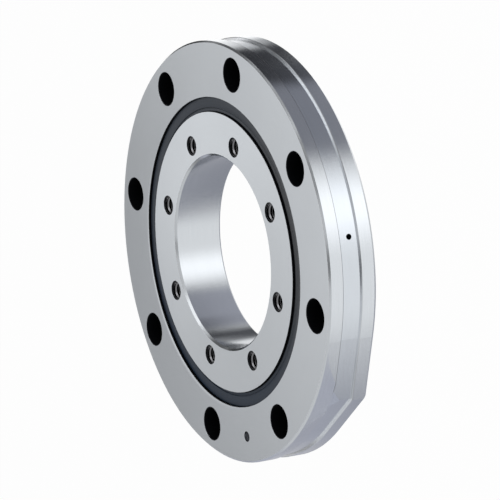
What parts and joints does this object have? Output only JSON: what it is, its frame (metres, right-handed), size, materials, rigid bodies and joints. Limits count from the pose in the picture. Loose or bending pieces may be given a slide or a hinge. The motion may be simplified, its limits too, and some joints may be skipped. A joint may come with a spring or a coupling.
{
  "type": "crossed roller bearing",
  "caption": "Flat crossed roller bearing: counterbored outer ring and tapped inner ring turn on crossed rollers in a V raceway, sealed on both faces.",
  "frame": {"origin": "centre of the bore, halfway between the two faces", "axes": "+Z along the bearing's axis, out of the counterbored front face; +X towards one outer bolt hole"},
  "size_m": [0.12, 0.12, 0.015],
  "materials": {
    "outer_ring_steel": "ground",
    "inner_ring_steel": "ground",
    "roller_steel": "lapped",
    "pin_steel": "ground",
    "seal_rubber": "moulded",
    "spacer_resin": "moulded"
  },
  "bodies": {
    "outer_ring_body": {"outer_ring": "outer_ring_steel", "loading_plug": "outer_ring_steel", "plug_pin": "pin_steel", "front_seal": "seal_rubber", "back_seal": "seal_rubber"},
    "inner_ring_body": {"inner_ring": "inner_ring_steel"},
    "roller_train": {"roller_spacers": "spacer_resin"},
    "roller_01_body": {"roller_01": "roller_steel"},
    "roller_02_body": {"roller_02": "roller_steel"},
    "roller_03_body": {"roller_03": "roller_steel"},
    "roller_04_body": {"roller_04": "roller_steel"},
    "roller_05_body": {"roller_05": "roller_steel"},
    "roller_06_body": {"roller_06": "roller_steel"},
    "roller_07_body": {"roller_07": "roller_steel"},
    "roller_08_body": {"roller_08": "roller_steel"},
    "roller_09_body": {"roller_09": "roller_steel"},
    "roller_10_body": {"roller_10": "roller_steel"},
    "roller_11_body": {"roller_11": "roller_steel"},
    "roller_12_body": {"roller_12": "roller_steel"},
    "roller_13_body": {"roller_13": "roller_steel"},
    "roller_14_body": {"roller_14": "roller_steel"},
    "roller_15_body": {"roller_15": "roller_steel"},
    "roller_16_body": {"roller_16": "roller_steel"},
    "roller_17_body": {"roller_17": "roller_steel"},
    "roller_18_body": {"roller_18": "roller_steel"},
    "roller_19_body": {"roller_19": "roller_steel"},
    "roller_20_body": {"roller_20": "roller_steel"},
    "roller_21_body": {"roller_21": "roller_steel"},
    "roller_22_body": {"roller_22": "roller_steel"},
    "roller_23_body": {"roller_23": "roller_steel"},
    "roller_24_body": {"roller_24": "roller_steel"},
    "roller_25_body": {"roller_25": "roller_steel"},
    "roller_26_body": {"roller_26": "roller_steel"},
    "roller_27_body": {"roller_27": "roller_steel"},
    "roller_28_body": {"roller_28": "roller_steel"},
    "roller_29_body": {"roller_29": "roller_steel"},
    "roller_30_body": {"roller_30": "roller_steel"},
    "roller_31_body": {"roller_31": "roller_steel"},
    "roller_32_body": {"roller_32": "roller_steel"},
    "roller_33_body": {"roller_33": "roller_steel"},
    "roller_34_body": {"roller_34": "roller_steel"},
    "roller_35_body": {"roller_35": "roller_steel"},
    "roller_36_body": {"roller_36": "roller_steel"}
  },
  "joints": [
    {"name": "inner_ring_spin", "type": "hinge", "parent": "outer_ring_body", "child": "inner_ring_body", "pos_m": [0, 0, 0], "axis": [0, 0, 1], "continuous": true},
    {"name": "roller_train_orbit", "type": "hinge", "parent": "outer_ring_body", "child": "roller_train", "pos_m": [0, 0, 0], "axis": [0, 0, 1], "continuous": true},
    {"name": "roller_01_spin", "type": "hinge", "parent": "roller_train", "child": "roller_01_body", "pos_m": [0.0425, 0, 0], "axis": [0.7071, 0, 0.7071], "continuous": true},
    {"name": "roller_02_spin", "type": "hinge", "parent": "roller_train", "child": "roller_02_body", "pos_m": [0.04185, 0.00738, 0], "axis": [0.6964, 0.1228, -0.7071], "continuous": true},
    {"name": "roller_03_spin", "type": "hinge", "parent": "roller_train", "child": "roller_03_body", "pos_m": [0.03994, 0.01454, 0], "axis": [0.6645, 0.2418, 0.7071], "continuous": true},
    {"name": "roller_04_spin", "type": "hinge", "parent": "roller_train", "child": "roller_04_body", "pos_m": [0.03681, 0.02125, 0], "axis": [0.6124, 0.3536, -0.7071], "continuous": true},
    {"name": "roller_05_spin", "type": "hinge", "parent": "roller_train", "child": "roller_05_body", "pos_m": [0.03256, 0.02732, 0], "axis": [0.5417, 0.4545, 0.7071], "continuous": true},
    {"name": "roller_06_spin", "type": "hinge", "parent": "roller_train", "child": "roller_06_body", "pos_m": [0.02732, 0.03256, 0], "axis": [0.4545, 0.5417, -0.7071], "continuous": true},
    {"name": "roller_07_spin", "type": "hinge", "parent": "roller_train", "child": "roller_07_body", "pos_m": [0.02125, 0.03681, 0], "axis": [0.3536, 0.6124, 0.7071], "continuous": true},
    {"name": "roller_08_spin", "type": "hinge", "parent": "roller_train", "child": "roller_08_body", "pos_m": [0.01454, 0.03994, 0], "axis": [0.2418, 0.6645, -0.7071], "continuous": true},
    {"name": "roller_09_spin", "type": "hinge", "parent": "roller_train", "child": "roller_09_body", "pos_m": [0.00738, 0.04185, 0], "axis": [0.1228, 0.6964, 0.7071], "continuous": true},
    {"name": "roller_10_spin", "type": "hinge", "parent": "roller_train", "child": "roller_10_body", "pos_m": [0, 0.0425, 0], "axis": [0, 0.7071, -0.7071], "continuous": true},
    {"name": "roller_11_spin", "type": "hinge", "parent": "roller_train", "child": "roller_11_body", "pos_m": [-0.00738, 0.04185, 0], "axis": [-0.1228, 0.6964, 0.7071], "continuous": true},
    {"name": "roller_12_spin", "type": "hinge", "parent": "roller_train", "child": "roller_12_body", "pos_m": [-0.01454, 0.03994, 0], "axis": [-0.2418, 0.6645, -0.7071], "continuous": true},
    {"name": "roller_13_spin", "type": "hinge", "parent": "roller_train", "child": "roller_13_body", "pos_m": [-0.02125, 0.03681, 0], "axis": [-0.3536, 0.6124, 0.7071], "continuous": true},
    {"name": "roller_14_spin", "type": "hinge", "parent": "roller_train", "child": "roller_14_body", "pos_m": [-0.02732, 0.03256, 0], "axis": [-0.4545, 0.5417, -0.7071], "continuous": true},
    {"name": "roller_15_spin", "type": "hinge", "parent": "roller_train", "child": "roller_15_body", "pos_m": [-0.03256, 0.02732, 0], "axis": [-0.5417, 0.4545, 0.7071], "continuous": true},
    {"name": "roller_16_spin", "type": "hinge", "parent": "roller_train", "child": "roller_16_body", "pos_m": [-0.03681, 0.02125, 0], "axis": [-0.6124, 0.3536, -0.7071], "continuous": true},
    {"name": "roller_17_spin", "type": "hinge", "parent": "roller_train", "child": "roller_17_body", "pos_m": [-0.03994, 0.01454, 0], "axis": [-0.6645, 0.2418, 0.7071], "continuous": true},
    {"name": "roller_18_spin", "type": "hinge", "parent": "roller_train", "child": "roller_18_body", "pos_m": [-0.04185, 0.00738, 0], "axis": [-0.6964, 0.1228, -0.7071], "continuous": true},
    {"name": "roller_19_spin", "type": "hinge", "parent": "roller_train", "child": "roller_19_body", "pos_m": [-0.0425, 0, 0], "axis": [-0.7071, 0, 0.7071], "continuous": true},
    {"name": "roller_20_spin", "type": "hinge", "parent": "roller_train", "child": "roller_20_body", "pos_m": [-0.04185, -0.00738, 0], "axis": [-0.6964, -0.1228, -0.7071], "continuous": true},
    {"name": "roller_21_spin", "type": "hinge", "parent": "roller_train", "child": "roller_21_body", "pos_m": [-0.03994, -0.01454, 0], "axis": [-0.6645, -0.2418, 0.7071], "continuous": true},
    {"name": "roller_22_spin", "type": "hinge", "parent": "roller_train", "child": "roller_22_body", "pos_m": [-0.03681, -0.02125, 0], "axis": [-0.6124, -0.3536, -0.7071], "continuous": true},
    {"name": "roller_23_spin", "type": "hinge", "parent": "roller_train", "child": "roller_23_body", "pos_m": [-0.03256, -0.02732, 0], "axis": [-0.5417, -0.4545, 0.7071], "continuous": true},
    {"name": "roller_24_spin", "type": "hinge", "parent": "roller_train", "child": "roller_24_body", "pos_m": [-0.02732, -0.03256, 0], "axis": [-0.4545, -0.5417, -0.7071], "continuous": true},
    {"name": "roller_25_spin", "type": "hinge", "parent": "roller_train", "child": "roller_25_body", "pos_m": [-0.02125, -0.03681, 0], "axis": [-0.3536, -0.6124, 0.7071], "continuous": true},
    {"name": "roller_26_spin", "type": "hinge", "parent": "roller_train", "child": "roller_26_body", "pos_m": [-0.01454, -0.03994, 0], "axis": [-0.2418, -0.6645, -0.7071], "continuous": true},
    {"name": "roller_27_spin", "type": "hinge", "parent": "roller_train", "child": "roller_27_body", "pos_m": [-0.00738, -0.04185, 0], "axis": [-0.1228, -0.6964, 0.7071], "continuous": true},
    {"name": "roller_28_spin", "type": "hinge", "parent": "roller_train", "child": "roller_28_body", "pos_m": [0, -0.0425, 0], "axis": [0, -0.7071, -0.7071], "continuous": true},
    {"name": "roller_29_spin", "type": "hinge", "parent": "roller_train", "child": "roller_29_body", "pos_m": [0.00738, -0.04185, 0], "axis": [0.1228, -0.6964, 0.7071], "continuous": true},
    {"name": "roller_30_spin", "type": "hinge", "parent": "roller_train", "child": "roller_30_body", "pos_m": [0.01454, -0.03994, 0], "axis": [0.2418, -0.6645, -0.7071], "continuous": true},
    {"name": "roller_31_spin", "type": "hinge", "parent": "roller_train", "child": "roller_31_body", "pos_m": [0.02125, -0.03681, 0], "axis": [0.3536, -0.6124, 0.7071], "continuous": true},
    {"name": "roller_32_spin", "type": "hinge", "parent": "roller_train", "child": "roller_32_body", "pos_m": [0.02732, -0.03256, 0], "axis": [0.4545, -0.5417, -0.7071], "continuous": true},
    {"name": "roller_33_spin", "type": "hinge", "parent": "roller_train", "child": "roller_33_body", "pos_m": [0.03256, -0.02732, 0], "axis": [0.5417, -0.4545, 0.7071], "continuous": true},
    {"name": "roller_34_spin", "type": "hinge", "parent": "roller_train", "child": "roller_34_body", "pos_m": [0.03681, -0.02125, 0], "axis": [0.6124, -0.3536, -0.7071], "continuous": true},
    {"name": "roller_35_spin", "type": "hinge", "parent": "roller_train", "child": "roller_35_body", "pos_m": [0.03994, -0.01454, 0], "axis": [0.6645, -0.2418, 0.7071], "continuous": true},
    {"name": "roller_36_spin", "type": "hinge", "parent": "roller_train", "child": "roller_36_body", "pos_m": [0.04185, -0.00738, 0], "axis": [0.6964, -0.1228, -0.7071], "continuous": true}
  ],
  "couplings": [
    {"joint": "roller_train_orbit", "follows": "inner_ring_spin", "ratio": 0.47504},
    {"joint": "roller_01_spin", "follows": "inner_ring_spin", "ratio": -7.0657},
    {"joint": "roller_02_spin", "follows": "inner_ring_spin", "ratio": 7.0657},
    {"joint": "roller_03_spin", "follows": "inner_ring_spin", "ratio": -7.0657},
    {"joint": "roller_04_spin", "follows": "inner_ring_spin", "ratio": 7.0657},
    {"joint": "roller_05_spin", "follows": "inner_ring_spin", "ratio": -7.0657},
    {"joint": "roller_06_spin", "follows": "inner_ring_spin", "ratio": 7.0657},
    {"joint": "roller_07_spin", "follows": "inner_ring_spin", "ratio": -7.0657},
    {"joint": "roller_08_spin", "follows": "inner_ring_spin", "ratio": 7.0657},
    {"joint": "roller_09_spin", "follows": "inner_ring_spin", "ratio": -7.0657},
    {"joint": "roller_10_spin", "follows": "inner_ring_spin", "ratio": 7.0657},
    {"joint": "roller_11_spin", "follows": "inner_ring_spin", "ratio": -7.0657},
    {"joint": "roller_12_spin", "follows": "inner_ring_spin", "ratio": 7.0657},
    {"joint": "roller_13_spin", "follows": "inner_ring_spin", "ratio": -7.0657},
    {"joint": "roller_14_spin", "follows": "inner_ring_spin", "ratio": 7.0657},
    {"joint": "roller_15_spin", "follows": "inner_ring_spin", "ratio": -7.0657},
    {"joint": "roller_16_spin", "follows": "inner_ring_spin", "ratio": 7.0657},
    {"joint": "roller_17_spin", "follows": "inner_ring_spin", "ratio": -7.0657},
    {"joint": "roller_18_spin", "follows": "inner_ring_spin", "ratio": 7.0657},
    {"joint": "roller_19_spin", "follows": "inner_ring_spin", "ratio": -7.0657},
    {"joint": "roller_20_spin", "follows": "inner_ring_spin", "ratio": 7.0657},
    {"joint": "roller_21_spin", "follows": "inner_ring_spin", "ratio": -7.0657},
    {"joint": "roller_22_spin", "follows": "inner_ring_spin", "ratio": 7.0657},
    {"joint": "roller_23_spin", "follows": "inner_ring_spin", "ratio": -7.0657},
    {"joint": "roller_24_spin", "follows": "inner_ring_spin", "ratio": 7.0657},
    {"joint": "roller_25_spin", "follows": "inner_ring_spin", "ratio": -7.0657},
    {"joint": "roller_26_spin", "follows": "inner_ring_spin", "ratio": 7.0657},
    {"joint": "roller_27_spin", "follows": "inner_ring_spin", "ratio": -7.0657},
    {"joint": "roller_28_spin", "follows": "inner_ring_spin", "ratio": 7.0657},
    {"joint": "roller_29_spin", "follows": "inner_ring_spin", "ratio": -7.0657},
    {"joint": "roller_30_spin", "follows": "inner_ring_spin", "ratio": 7.0657},
    {"joint": "roller_31_spin", "follows": "inner_ring_spin", "ratio": -7.0657},
    {"joint": "roller_32_spin", "follows": "inner_ring_spin", "ratio": 7.0657},
    {"joint": "roller_33_spin", "follows": "inner_ring_spin", "ratio": -7.0657},
    {"joint": "roller_34_spin", "follows": "inner_ring_spin", "ratio": 7.0657},
    {"joint": "roller_35_spin", "follows": "inner_ring_spin", "ratio": -7.0657},
    {"joint": "roller_36_spin", "follows": "inner_ring_spin", "ratio": 7.0657}
  ]
}
